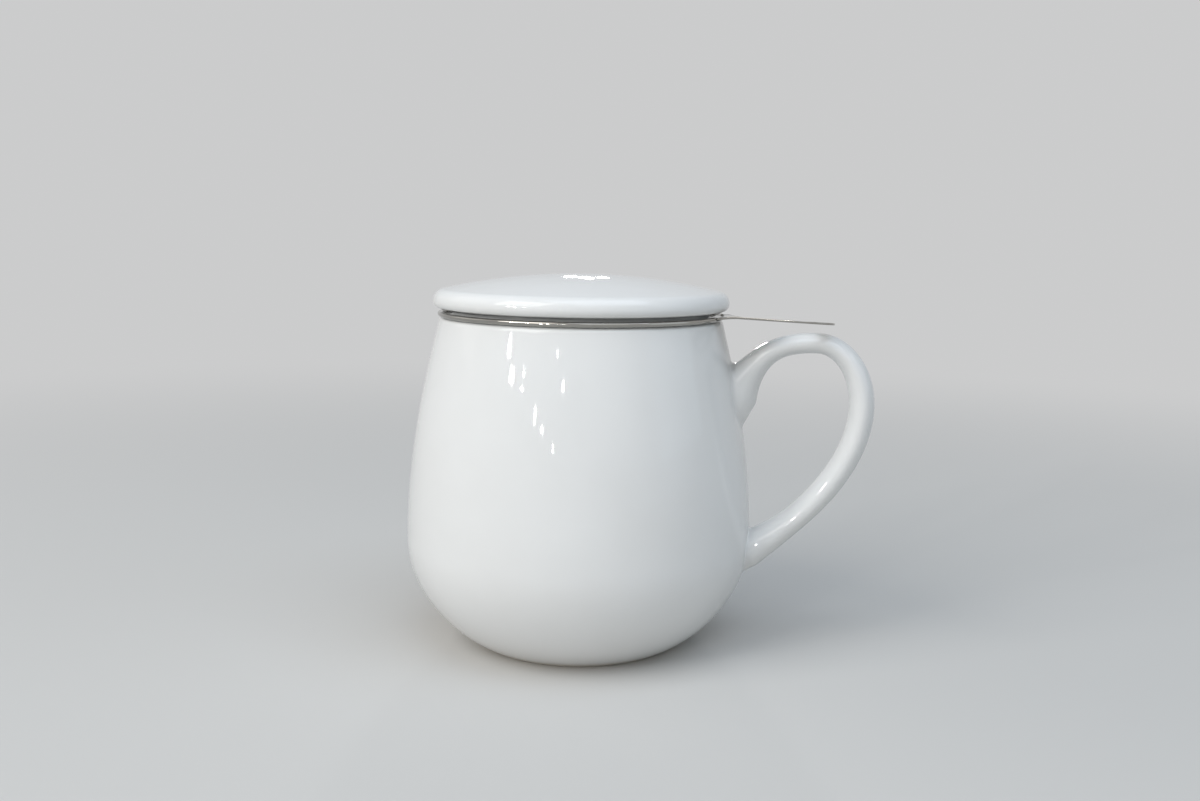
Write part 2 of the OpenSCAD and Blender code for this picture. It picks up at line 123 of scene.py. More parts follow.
class Shell:
    """Vertices in millimetres, faces and material slots that grow into one mesh."""

    def __init__(self):
        self.verts, self.faces, self.slots = [], [], []

    def add(self, verts, faces, slot=0):
        at = len(self.verts)
        self.verts += [tuple(v) for v in verts]
        self.faces += [[at + i for i in f] for f in faces]
        self.slots += [slot] * len(faces)

    def lathe(self, profile, steps=TURN_STEPS, loop=False, slot_of=None):
        """A profile (radius, height) turned all the way round +Z. Points on the axis become poles."""
        angles = np.arange(steps) * 2 * math.pi / steps
        rings = []
        for r, z in profile:
            at = len(self.verts)
            if r < SAME:
                self.verts.append((0, 0, z))
                rings.append([at] * steps)
            else:
                self.verts += [(r * math.cos(a), r * math.sin(a), z) for a in angles]
                rings.append(list(range(at, at + steps)))
        count = len(profile)
        for k in range(count if loop else count - 1):
            a, b = rings[k], rings[(k + 1) % count]
            slot = slot_of(profile[k], profile[(k + 1) % count]) if slot_of else 0
            for i in range(steps):
                j = (i + 1) % steps
                face = [a[i], a[j], b[j], b[i]]
                face = [v for q, v in enumerate(face) if v != face[q - 1]]
                if len(face) > 2:
                    self.faces.append(face)
                    self.slots.append(slot)

    def turned(self, outline, start, stop, steps):
        """A closed outline turned from one angle to another, with both ends closed."""
        n = len(outline)
        verts = []
        for i in range(steps + 1):
            a = math.radians(start + (stop - start) * i / steps)
            verts += [(r * math.cos(a), r * math.sin(a), z) for r, z in outline]
        faces = [[i * n + k, (i + 1) * n + k, (i + 1) * n + (k + 1) % n, i * n + (k + 1) % n]
                 for i in range(steps) for k in range(n)]
        faces.append(list(range(n)))
        faces.append([steps * n + k for k in range(n - 1, -1, -1)])
        self.add(verts, faces)

    def rings(self, rings, ends=None, loop=False):
        """Skins a list of equal closed rings. ends are two points that close its first and last ring."""
        n, count = len(rings[0]), len(rings)
        verts = [p for ring in rings for p in ring]
        faces = []
        for k in range(count if loop else count - 1):
            a, b = k * n, (k + 1) % count * n
            faces += [[a + i, a + (i + 1) % n, b + (i + 1) % n, b + i] for i in range(n)]
        if ends is not None:
            last = len(verts) - n
            verts += list(ends)
            faces += [[len(verts) - 2, (i + 1) % n, i] for i in range(n)]
            faces += [[len(verts) - 1, last + i, last + (i + 1) % n] for i in range(n)]
        self.add(verts, faces)

    def piece(self, name, materials, body, node, sharp):
        """Makes the object, lets it ride on its body in place of its CAD node, and gives its faces their
        materials.
        """
        mesh = bpy.data.meshes.new(name)
        mesh.from_pydata((np.array(self.verts, float) * MM).tolist(), [], self.faces)
        for m in materials:
            mesh.materials.append(m)
        mesh.polygons.foreach_set("material_index", np.array(self.slots, np.int32))
        mesh.polygons.foreach_set("use_smooth", [True] * len(mesh.polygons))
        face_outwards(mesh)
        mesh.set_sharp_from_angle(angle=math.radians(sharp))
        mesh.validate()
        mesh.update()
        ob = bpy.data.objects.new(name, mesh)
        bpy.context.scene.collection.objects.link(ob)
        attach(ob, body)
        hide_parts(node)


# ---------------------------------------------------------------- materials
def material(name, **values):
    m = bpy.data.materials.new(name)
    m.use_nodes = True
    tree = m.node_tree
    shader = tree.nodes["Principled BSDF"]
    for k, v in values.items():
        shader.inputs[k.replace("_", " ")].default_value = v
    return m, tree, shader


def add(tree, kind, settings=None, inputs=None, links=None):
    node = tree.nodes.new("ShaderNode" + kind)
    for k, v in (settings or {}).items():
        setattr(node, k, v)
    for k, v in (inputs or {}).items():
        node.inputs[k].default_value = v
    for k, v in (links or {}).items():
        tree.links.new(v, node.inputs[k])
    return node


def noise(tree, vector, scale, detail=2.0, roughness=0.5):
    """A noise with about scale waves to the metre."""
    inputs = {"Scale": scale, "Detail": detail, "Roughness": roughness}
    return add(tree, "TexNoise", {}, inputs, {"Vector": vector}).outputs["Fac"]


def ramp(tree, value, low, high, out_low, out_high):
    """A value between low and high, stretched to lie between out_low and out_high."""
    inputs = {"From Min": low, "From Max": high, "To Min": out_low, "To Max": out_high}
    return add(tree, "MapRange", {}, inputs, {"Value": value}).outputs["Result"]


# Where the values of a noise mostly lie
NOISE_SPAN = (0.3, 0.7)


def spread(tree, value, low, high):
    """A noise stretched from low to high."""
    return ramp(tree, value, *NOISE_SPAN, low, high)


def two_tones(tree, fac, a, b):
    """A colour between a and b, which are colours or other nodes' outputs."""
    node = add(tree, "Mix", {"data_type": "RGBA"}, {}, {"Factor": fac})
    for socket, tone in ((6, a), (7, b)):
        if isinstance(tone, tuple):
            node.inputs[socket].default_value = (*tone, 1)
        else:
            tree.links.new(tone, node.inputs[socket])
    return node.outputs[2]


def bumps(tree, layers):
    """Bump nodes one on the other: each layer is (height, distance in metres, strength)."""
    normal = None
    for height, distance, strength in layers:
        node = add(tree, "Bump", {}, {"Distance": distance, "Strength": strength}, {"Height": height})
        if normal is not None:
            tree.links.new(normal, node.inputs["Normal"])
        normal = node.outputs["Normal"]
    return normal


GLAZE_IOR, GLAZE_ROUGH = 1.52, (0.024, 0.038)
# Between these heights, in metres, the thin glaze over the foot gives way to the full white
GLAZE_EDGE = (0.0004, 0.0022)
BARE_ROUGH = (0.62, 0.8)
# How far the fine lines of turned steel drift, in metres of noise, for each radian round the axis
LINE_DRIFT = 0.0016
# The polished tones are darker than plain steel: painted shade, which dims the bead's reflections and the gap
# under the lid
POLISHED_SHADED_TONES, POLISHED_ROUGH = ((0.35, 0.338, 0.312), (0.41, 0.398, 0.372)), (0.06, 0.13)
SATIN, SATIN_ROUGH = ((0.52, 0.515, 0.50), (0.58, 0.575, 0.56)), (0.24, 0.38)


def glazed_porcelain():
    """White glaze with faint clouds in tone and gloss, a wavy surface and a warm edge at the foot."""
    m, tree, shader = material("glazed_porcelain", IOR=GLAZE_IOR)
    where = add(tree, "TexCoord").outputs["Object"]
    height = add(tree, "SeparateXYZ", links={"Vector": where}).outputs[2]
    clouds = spread(tree, noise(tree, where, 38, 3), 0, 1)
    white = two_tones(tree, clouds, (0.815, 0.818, 0.81), (0.84, 0.845, 0.84))
    edge = ramp(tree, height, *GLAZE_EDGE, 0, 1)
    tree.links.new(two_tones(tree, edge, (0.72, 0.66, 0.56), white), shader.inputs["Base Color"])
    gloss = spread(tree, noise(tree, where, 210, 3), *GLAZE_ROUGH)
    tree.links.new(gloss, shader.inputs["Roughness"])
    waves, peel = noise(tree, where, 70, 1), noise(tree, where, 620, 2)
    tree.links.new(bumps(tree, [(waves, 0.00035, 0.12), (peel, 0.00003, 0.08)]), shader.inputs["Normal"])
    return m


def bare_porcelain():
    """Fired but unglazed: matt, slightly warm, with a fine grain."""
    m, tree, shader = material("bare_porcelain")
    where = add(tree, "TexCoord").outputs["Object"]
    grain = noise(tree, where, 2600, 4, 0.6)
    tone = two_tones(tree, grain, (0.70, 0.675, 0.62), (0.79, 0.77, 0.72))
    tree.links.new(tone, shader.inputs["Base Color"])
    tree.links.new(spread(tree, grain, *BARE_ROUGH), shader.inputs["Roughness"])
    tree.links.new(bumps(tree, [(grain, 0.00006, 0.5)]), shader.inputs["Normal"])
    return m


def turned_steel(name, tones, rough, streak):
    """Stainless sheet with fine lines that run round the mug's axis."""
    m, tree, shader = material(name, Metallic=1.0)
    where = add(tree, "TexCoord").outputs["Object"]
    xyz = add(tree, "SeparateXYZ", links={"Vector": where})
    x, y, z = xyz.outputs
    square = add(tree, "Math", {"operation": "MULTIPLY"}, links={0: x, 1: x}).outputs[0]
    squares = add(tree, "Math", {"operation": "MULTIPLY_ADD"}, links={0: y, 1: y, 2: square}).outputs[0]
    radius = add(tree, "Math", {"operation": "SQRT"}, links={0: squares}).outputs[0]
    angle = add(tree, "Math", {"operation": "ARCTAN2"}, links={0: y, 1: x}).outputs[0]
    slow = add(tree, "Math", {"operation": "MULTIPLY"}, {1: LINE_DRIFT}, {0: angle}).outputs[0]
    lines = add(tree, "CombineXYZ", links={0: radius, 1: slow, 2: z}).outputs[0]
    fine = noise(tree, lines, 5200, 3, 0.6)
    broad = noise(tree, where, 120, 2)
    tree.links.new(two_tones(tree, broad, *tones), shader.inputs["Base Color"])
    tree.links.new(spread(tree, fine, *rough), shader.inputs["Roughness"])
    tree.links.new(bumps(tree, [(fine, 0.00001, streak)]), shader.inputs["Normal"])
    return m


porcelain = glazed_porcelain()
bare = bare_porcelain()
# Polished steel whose darkened tones carry painted shade for the bead and the gap under the lid
shaded_polished = turned_steel("shaded_polished_steel", POLISHED_SHADED_TONES, POLISHED_ROUGH, streak=0.2)
satin = turned_steel("satin_steel", SATIN, SATIN_ROUGH, streak=0.4)

# ---------------------------------------------------------------- mug body
LIP_R, BODY_H, BELLY_R, BELLY_H = 40.0, 92.2, 49.0, 30.0
WALL_T, LIP_T, LIP_LEAN, FLOOR_T = 3.6, 3.5, 13.5, 4.4
FOOT_R, FOOT_W, FOOT_RECESS, FOOT_RISE, FOOT_CORNER = 29.0, 2.8, 1.8, 27.0, 0.8
FOOT_PULL, BELLY_PULL_BELOW, BELLY_PULL_ABOVE, LIP_PULL = 0.32, 0.48, 0.43, 0.15
INNER_BELLY_PULL, INNER_FLOOR_PULL, FLOOR_FLAT = 0.5, 0.62, 0.55
# The radii of the rings of vertices on the flat floors, and the height to which the foot ring is bare
FLAT_RINGS, BARE_H = (0, 8, 16), 0.3

upper_h = BODY_H - BELLY_H
lip_c = np.array([LIP_R - LIP_T / 2, BODY_H - LIP_T / 2])
up_the_lip = along(90 + LIP_LEAN)
outer_foot = (FOOT_R, FOOT_CORNER) + FOOT_CORNER * along(FOOT_RISE - 90)
outer_belly = np.array([BELLY_R, BELLY_H])
outer_lip = lip_c + LIP_T / 2 * along(LIP_LEAN)
outer_wall = join(
    cubic(outer_foot, outer_foot + FOOT_PULL * BELLY_H * along(FOOT_RISE),
          outer_belly - (0, BELLY_PULL_BELOW * BELLY_H), outer_belly, 44),
    cubic(outer_belly, outer_belly + (0, BELLY_PULL_ABOVE * upper_h),
          outer_lip - LIP_PULL * upper_h * up_the_lip, outer_lip, 44),
)
floor_h = FOOT_RECESS + FLOOR_T
floor_r = FLOOR_FLAT * FOOT_R
inner_floor = np.array([floor_r, floor_h])
inner_belly = np.array([BELLY_R - WALL_T, BELLY_H])
inner_lip = lip_c - LIP_T / 2 * along(LIP_LEAN)
inner_wall = join(
    cubic(inner_floor, inner_floor + (INNER_FLOOR_PULL * (BELLY_R - floor_r), 0),
          inner_belly - (0, INNER_BELLY_PULL * (BELLY_H - floor_h)), inner_belly, 30),
    cubic(inner_belly, inner_belly + (0, BELLY_PULL_ABOVE * upper_h),
          inner_lip - LIP_PULL * upper_h * up_the_lip, inner_lip, 30),
)
foot_in = FOOT_R - FOOT_W
body_profile = join(
    [(r, FOOT_RECESS) for r in FLAT_RINGS],
    arc((foot_in - FOOT_RECESS - FOOT_CORNER, FOOT_RECESS - FOOT_CORNER), FOOT_CORNER, 90, 45, 5),
    arc((foot_in + FOOT_CORNER, FOOT_CORNER), FOOT_CORNER, 225, 270, 5),
    arc((FOOT_R, FOOT_CORNER), FOOT_CORNER, 270, 270 + FOOT_RISE, 5),
    outer_wall,
    arc(lip_c, LIP_T / 2, LIP_LEAN, 180 + LIP_LEAN, 22),
    inner_wall[::-1],
    [(FLAT_RINGS[1], floor_h), (FLAT_RINGS[0], floor_h)],
)


def wall_radius(z):
    return np.interp(z, outer_wall[:, 1], outer_wall[:, 0])


def foot_slot(a, b):
    """The foot ring's underside is wiped bare before firing."""
    return 1 if max(a[1], b[1]) < BARE_H else 0


body_shell = Shell()
body_shell.lathe(body_profile, slot_of=foot_slot)
body_shell.piece("glazed_mug_body", [porcelain, bare], "mug", "mug_body", sharp=50)

# ---------------------------------------------------------------- handle
REACH, CROWN_DROP, CROWN_RISE, CROWN_RUN = 29.4, 5.5, 17.0, 12.6
UPPER_DROP, UPPER_SLOPE, LOWER_H, LOWER_SLOPE = 19.6, 62.0, 28.2, 30.0
CROWN_T, GRIP_T, GRIP_W, UPPER_T, LOWER_T = 5.6, 7.0, 10.6, 12.6, 10.5
FLARE_W, FLARE_LEN, FLARE_POWER, CROWN_SWELL = 3.4, 20.0, 2.3, 0.4
UPPER_FILLET, ROOT_FILLET = 2.4, 0.8
# The line starts and ends this far inside the wall, and a cubic with this pull follows a quarter of a circle
LEAD, QUARTER = 10.0, 0.5523
UPPER_PULL, CROWN_PULL, GRIP_PULL, LOWER_PULL = 13.0, 10.0, 19.0, 12.0
SIDES, RINGS, FILLET_STEPS, CAP_STEPS = 64, 150, 7, 4
SUNK = 0.015
# The direction of the line and the lean of the wall are taken this far behind and ahead
TANGENT_STEP, LEAN_STEP = 0.8, 0.5
HALVINGS = 40

far_x = BELLY_R + REACH
crown = np.array([far_x - CROWN_RUN, BODY_H - CROWN_DROP])
far_side = np.array([far_x, crown[1] - CROWN_RISE])
upper_root = np.array([wall_radius(BODY_H - UPPER_DROP), BODY_H - UPPER_DROP])
lower_root = np.array([wall_radius(LOWER_H), LOWER_H])
into_wall, down_wall = along(180 + UPPER_SLOPE), along(180 + LOWER_SLOPE)
first_run = cubic(upper_root, upper_root - UPPER_PULL * into_wall, crown - (CROWN_PULL, 0), crown)
second_run = cubic(crown, crown + (QUARTER * CROWN_RUN, 0), far_side + (0, QUARTER * CROWN_RISE), far_side)
third_run = cubic(far_side, far_side - (0, GRIP_PULL), lower_root - LOWER_PULL * down_wall, lower_root, 60)
line = join(upper_root + LEAD * into_wall, first_run, second_run, third_run, lower_root + LEAD * down_wall)
line_s = lengths(line)
LINE_END = line_s[-1]
CROWN_S = LEAD + lengths(first_run)[-1]
FAR_S = CROWN_S + lengths(second_run)[-1]


def line_at(s):
    return np.stack([np.interp(s, line_s, line[:, 0]), np.interp(s, line_s, line[:, 1])], -1)


def flare(s):
    return np.maximum(0, 1 - np.maximum(0, s) / FLARE_LEN) ** FLARE_POWER


def handle_t(s):
    plain = np.where(s < CROWN_S, CROWN_T + CROWN_SWELL * ease((CROWN_S - s) / CROWN_S),
                     CROWN_T + (GRIP_T - CROWN_T) * ease((s - CROWN_S) / (FAR_S - CROWN_S)))
    return plain + (UPPER_T - plain) * flare(s - LEAD) + (LOWER_T - plain) * flare(LINE_END - LEAD - s)


def handle_w(s):
    return GRIP_W + FLARE_W * (flare(s - LEAD) + flare(LINE_END - LEAD - s))


def handle_point(s, a):
    """Points of the handle's skin: s along its line, a round its oval section."""
    c, d = line_at(s), line_at(s + TANGENT_STEP) - line_at(s - TANGENT_STEP)
    d /= np.linalg.norm(d, axis=-1, keepdims=True)
    u = handle_t(s) / 2 * np.cos(a)
    return np.stack([c[..., 0] - d[..., 1] * u, handle_w(s) / 2 * np.sin(a), c[..., 1] + d[..., 0] * u], -1)


def leaves_wall(s_in, s_out, a, by):
    """Where the skin's line at angle a is that far outside the wall, found by halving."""
    low, high = np.full_like(a, s_in), np.full_like(a, s_out)
    for _ in range(HALVINGS):
        mid = (low + high) / 2
        p = handle_point(mid, a)
        inside = np.hypot(p[..., 0], p[..., 1]) - wall_radius(p[..., 2]) < by
        low, high = np.where(inside, mid, low), np.where(inside, high, mid)
    return low


def on_wall(phi, z):
    """Points of the body's wall, sunk a hair into it so that no gap shows."""
    r = wall_radius(z) - SUNK
    return np.stack([r * np.cos(phi), r * np.sin(phi), z], -1)


def root_rings(s_in, s_out, a, size):
    """Where the skin leaves the wall, and the rings of its fillet and of the cap along the wall."""
    s_skin = leaves_wall(s_in, s_out, a, size)
    skin, foot = handle_point(s_skin, a), handle_point(leaves_wall(s_in, s_out, a, 0.0), a)
    phi, z = np.arctan2(foot[:, 1], foot[:, 0]), foot[:, 2]
    slope = (wall_radius(z + LEAN_STEP) - wall_radius(z - LEAN_STEP)) / (2 * LEAN_STEP)
    r, lean = wall_radius(z), np.hypot(1, slope)
    u, v = r * phi, z * lean
    du, dv = np.roll(u, -1) - np.roll(u, 1), np.roll(v, -1) - np.roll(v, 1)
    nu, nv = dv / np.hypot(du, dv), -du / np.hypot(du, dv)
    side = np.sign((nu * (u - u.mean()) + nv * (v - v.mean())).sum())
    phi, z = (u + side * nu * size) / r, (v + side * nv * size) / lean
    edge = on_wall(phi, z)
    t = np.linspace(0, 1, FILLET_STEPS + 1)[1:, None, None]
    fillet = (1 - t) ** 2 * skin + 2 * t * (1 - t) * foot + t * t * edge
    q = 1 - np.arange(1, CAP_STEPS)[:, None] / CAP_STEPS
    cap = on_wall(phi.mean() + (phi - phi.mean()) * q, z.mean() + (z - z.mean()) * q)
    return s_skin, [*fillet, *cap], on_wall(phi.mean(), z.mean())


around = np.arange(SIDES) * 2 * math.pi / SIDES
upper_size = ROOT_FILLET + (UPPER_FILLET - ROOT_FILLET) * ((1 + np.cos(around)) / 2) ** 2
upper_s, upper_rings, upper_end = root_rings(0.0, CROWN_S, around, upper_size)
lower_s, lower_rings, lower_end = root_rings(LINE_END, FAR_S, around, np.full_like(around, ROOT_FILLET))
grip = [handle_point(upper_s + (lower_s - upper_s) * j / RINGS, around) for j in range(RINGS + 1)]
handle_shell = Shell()
handle_shell.rings(upper_rings[::-1] + grip + lower_rings, ends=(upper_end, lower_end))
handle_shell.piece("glazed_ear_handle", [porcelain], "mug", "mug_handle", sharp=75)

# ---------------------------------------------------------------- infuser rim
SEAT_GAP, WELD_GAP, MOUTH_GAP, RIM_SHEET, MESH_SHEET = 0.05, 0.05, 2.1, 0.4, 0.4
BEAD_D, BEAD_OVERHANG, BEND_R, CURL_END, SKIRT_H, NOTCH_GAP = 1.4, 0.25, 0.9, 560, 8.0, 0.4
TAB_TURN, TAB_ROOT_W = -4.0, 14.0
RIM_STEPS, NOTCH_STEPS = 212, 14

skirt_r = LIP_R - LIP_T - MOUTH_GAP
rim_bottom = BODY_H + SEAT_GAP
rim_top = rim_bottom + RIM_SHEET
bead_r = BEAD_D / 2
bead_c = np.array([LIP_R + BEAD_OVERHANG - bead_r, rim_bottom + bead_r])
skirt_bottom = BODY_H - SKIRT_H
flange_h = rim_bottom + RIM_SHEET / 2
skirt_mid = skirt_r - RIM_SHEET / 2
bend_c = (skirt_mid + BEND_R, flange_h - BEND_R)
curl_mid_r = bead_r - RIM_SHEET / 2

flat_path = join(
    [(skirt_mid, skirt_bottom + (bend_c[1] - skirt_bottom) * k / 5) for k in range(6)],
    arc(bend_c, BEND_R, 180, 90, 10),
    [(bend_c[0] + (bead_c[0] - bend_c[0]) * k / 3, flange_h) for k in range(1, 4)],
)
curled_path = join(flat_path, arc((bead_c[0], flange_h + curl_mid_r), curl_mid_r, 270, CURL_END, 36))
flat_sides = sheet(flat_path, RIM_SHEET)
# Where the tab passes, the bead is cut away down to the flange's upper face
notch_arc = math.degrees(math.asin((bead_r - RIM_SHEET) / bead_r))
cut_bead = arc(bead_c, bead_r, -notch_arc, -90, 8)
notched = join(flat_sides[:len(flat_path)], cut_bead, flat_sides[len(flat_path):])
notch_half = math.degrees(math.asin((TAB_ROOT_W / 2 + NOTCH_GAP) / bead_c[0]))

rim_shell = Shell()
rim_shell.turned(sheet(curled_path, RIM_SHEET), TAB_TURN + notch_half, TAB_TURN + 360 - notch_half, RIM_STEPS)
rim_shell.turned(notched, TAB_TURN - notch_half, TAB_TURN + notch_half, NOTCH_STEPS)
rim_shell.piece("curled_steel_rim", [shaded_polished], "infuser", "infuser_rim", sharp=50)

# ---------------------------------------------------------------- infuser basket
BASKET_DEPTH, BASE_EDGE, CUP_CORNER, BAND_GAP, SEAM_W = 60.0, 4.0, 1.4, 1.2, 5.0
HOLE_R, HOLE_PITCH, HOLE_SIDES = 0.5, 2.0, 8
# Every second row of holes is moved on by half a cell
ROW_SHIFTS = (0.25, 0.75)
WELD_SPOTS, SPOT_R, SPOT_H, SPOT_SUNK, SPOT_RINGS, SPOT_SIDES = 6, 0.9, 0.1, 0.02, 4, 16
# The strip behind the seam reaches under the cells by these shares of a cell, and the lap is sunk a little
SEAM_TUCKS, LAP_SUNK, SEAM_STEPS = (0.26, 0.3), 0.01, 12
BASE_STEPS, PLAIN_EDGE = 192, 1.6
# What Blender's triangulation asks for: keep the inside of the outline, and join points nearer than this
KEEP_INSIDE, JOIN_WITHIN = 1, 1e-7
ROW_STEP = HOLE_PITCH * math.sin(math.radians(60))

basket_r = skirt_r - RIM_SHEET - WELD_GAP
basket_in_r = basket_r - MESH_SHEET
basket_bottom = BODY_H - BASKET_DEPTH
basket_top = BODY_H - BEND_R
cup_seat = basket_bottom + MESH_SHEET / 2 + CUP_CORNER


def wall_point(u, z, r):
    return r * math.cos(u), r * math.sin(u), z


def perforated_band(shell, u0, columns, step_u, low, rows, step_z):
    """Cells of rolled sheet, each with a round hole through it, in staggered rows."""
    index, verts, faces = {}, [], []

    def vert(u, z, r):
        """Vertices come in pairs: an even number outside, and the next number behind it inside."""
        key = (round(u * basket_r, 3), round(z, 3))
        if key not in index:
            index[key] = len(verts)
            verts.extend([wall_point(u, z, basket_r), wall_point(u, z, basket_in_r)])
        return index[key] + (r == basket_in_r)

    turns = [2 * math.pi * k / HOLE_SIDES for k in range(HOLE_SIDES)]
    cell = [(1, 0), (1, 1), (0, 1), (-1, 1), (-1, 0), (-1, -1), (0, -1), (1, -1)]
    for row in range(rows):
        z = low + (row + 0.5) * step_z
        for column in range(columns):
            u = u0 + (column + ROW_SHIFTS[row % 2]) * step_u
            corners = [(u + a * step_u / 2, z + b * step_z / 2) for a, b in cell]
            hole = [(u + HOLE_R * math.cos(b) / basket_r, z + HOLE_R * math.sin(b)) for b in turns]
            for k in range(HOLE_SIDES):
                m = (k + 1) % HOLE_SIDES
                for r in (basket_r, basket_in_r):
                    quad = [vert(*corners[k], r), vert(*corners[m], r), vert(*hole[m], r), vert(*hole[k], r)]
                    faces.append(quad if r == basket_r else quad[::-1])
                faces.append([vert(*hole[k], basket_r), vert(*hole[m], basket_r),
                              vert(*hole[m], basket_in_r), vert(*hole[k], basket_in_r)])
    sides = {(a, b) for f in faces for a, b in zip(f, f[1:] + f[:1])}
    rim_sides = [(a, b) for a, b in sorted(sides) if (b, a) not in sides and a % 2 == 0 and b % 2 == 0]
    faces += [[b, a, a + 1, b + 1] for a, b in rim_sides]
    shell.add(verts, faces)


def weld_spots(shell, x, heights):
    """Round marks that spot welding leaves down the seam, as low domes that face -X."""
    turns = np.arange(SPOT_SIDES) * 2 * math.pi / SPOT_SIDES
    for z in heights:
        rings = []
        for a in np.arange(SPOT_RINGS) / SPOT_RINGS * math.pi / 2:
            r, proud = SPOT_R * math.cos(a), SPOT_H * math.sin(a)
            rings.append([(x - proud, r * math.cos(b), z + r * math.sin(b)) for b in turns])
        shell.rings(rings, ends=((x + SPOT_SUNK, 0, z), (x - SPOT_H, 0, z)))


seam = SEAM_W / basket_r
low, high = basket_bottom + BASE_EDGE + BAND_GAP, skirt_bottom - BAND_GAP
columns = int((2 * math.pi - seam) * basket_r / HOLE_PITCH)
rows = int((high - low) / ROW_STEP)
step_u = (2 * math.pi - seam) / columns
u0 = math.pi + seam / 2
wall_shell = Shell()
perforated_band(wall_shell, u0, columns, step_u, low, rows, (high - low) / rows)
for bottom, top in ((cup_seat, low), (high, basket_top)):
    plain = [(basket_in_r, bottom), (basket_r, bottom), (basket_r, top), (basket_in_r, top)]
    wall_shell.lathe(plain, loop=True)
# The plain strip behind the seam, and the lap that stands proud of it
behind = (basket_in_r, basket_r, u0 - seam - SEAM_TUCKS[0] * step_u, u0 + SEAM_TUCKS[1] * step_u)
lap = (basket_r - LAP_SUNK, basket_r + MESH_SHEET, u0 - seam, u0)
for r_in, r_out, u_from, u_to in (behind, lap):
    strip = [(r_in, low), (r_out, low), (r_out, high), (r_in, high)]
    wall_shell.turned(strip, math.degrees(u_from), math.degrees(u_to), SEAM_STEPS)
spot_heights = [low + (high - low) * (k + 0.5) / WELD_SPOTS for k in range(WELD_SPOTS)]
weld_spots(wall_shell, -(basket_r + MESH_SHEET), spot_heights)
wall_shell.piece("perforated_basket_wall", [satin], "infuser", "infuser_wall", sharp=40)


def perforated_disc(shell, radius, z_top, z_bottom):
    """A flat disc with staggered round holes that keep clear of its edge."""
    points = [Vector(radius * along(360 * i / BASE_STEPS)) for i in range(BASE_STEPS)]
    edges = [(i, (i + 1) % BASE_STEPS) for i in range(BASE_STEPS)]
    reach = int(radius / HOLE_PITCH) + 2
    span = range(-reach, reach + 1)
    grid = [((p + q / 2) * HOLE_PITCH, q * ROW_STEP) for q in span for p in span]
    holes = [c for c in grid if math.hypot(*c) < radius - PLAIN_EDGE]
    for c in holes:
        at = len(points)
        points += [Vector(c + HOLE_R * along(360 * k / HOLE_SIDES)) for k in range(HOLE_SIDES)]
        edges += [(at + k, at + (k + 1) % HOLE_SIDES) for k in range(HOLE_SIDES)]
    flat, _, triangles, _, _, _ = geometry.delaunay_2d_cdt(points, edges, [], KEEP_INSIDE, JOIN_WITHIN)
    flat, centres = np.array([tuple(p) for p in flat]), np.array(holes)
    count, clear = len(flat), HOLE_R * math.cos(math.pi / HOLE_SIDES)
    solid = [t for t in triangles if np.hypot(*(centres - flat[list(t)].mean(0)).T).min() > clear]
    sides = {(a, b) for t in solid for a, b in zip(t, t[1:] + t[:1])}
    faces = [list(t) for t in solid] + [[count + v for v in t[::-1]] for t in solid]
    faces += [[b, a, count + a, count + b] for a, b in sorted(sides) if (b, a) not in sides]
    shell.add([(x, y, z) for z in (z_top, z_bottom) for x, y in flat], faces)


cup_mid_r = basket_r + WELD_GAP + MESH_SHEET / 2
cup_flat_r = cup_mid_r - CUP_CORNER
cup_mid_h = basket_bottom + MESH_SHEET / 2
cup_path = join((cup_flat_r, cup_mid_h), arc((cup_flat_r, cup_seat), CUP_CORNER, 270, 360, 12),
                (cup_mid_r, basket_bottom + BASE_EDGE))
base_shell = Shell()
perforated_disc(base_shell, cup_flat_r, cup_mid_h + MESH_SHEET / 2, cup_mid_h - MESH_SHEET / 2)
base_shell.lathe(sheet(cup_path, MESH_SHEET), BASE_STEPS, loop=True)
base_shell.piece("perforated_basket_base", [satin], "infuser", "infuser_base", sharp=40)

# ---------------------------------------------------------------- lift tab
TAB_T, TAB_REACH, TAB_W, TAB_HOLE_R = 0.6, 30.4, 20.0, 6.5
TAB_STEP, TAB_DROOP, TAB_TWIST, TAB_LAP = 0.35, 2.0, 4.4, 1.6
TAB_EDGE, TWIST_RUN = 0.14, 4.0
# The bends are softened by the mean of the path at these distances
SOFTENING = (-0.4, -0.2, 0, 0.2, 0.4)
END_RAYS, SIDE_RAYS, RAY_STEPS = 72, 20, 44

tab_root_r = bead_c[0] - bead_r - TAB_LAP
tab_end_r = LIP_R + TAB_REACH
tab_low = rim_top + SEAT_GAP + TAB_T / 2
tab_level_r = bead_c[0] + BEAD_D
tab_fall = (tab_end_r - tab_level_r) * math.tan(math.radians(TAB_DROOP))
tab_path = np.array([(tab_root_r, tab_low), (bead_c[0], tab_low), (tab_level_r, tab_low + TAB_STEP),
                     (tab_end_r, tab_low + TAB_STEP - tab_fall)])


def tab_height(x, y):
    """The tab lies on the flange, steps up past the bead, then slopes down and twists a little."""
    r = np.hypot(x, y)
    bend = np.mean([np.interp(r + d, *tab_path.T) for d in SOFTENING], axis=0)
    return bend - y * math.tan(math.radians(TAB_TWIST)) * ease((r - tab_level_r) / TWIST_RUN)


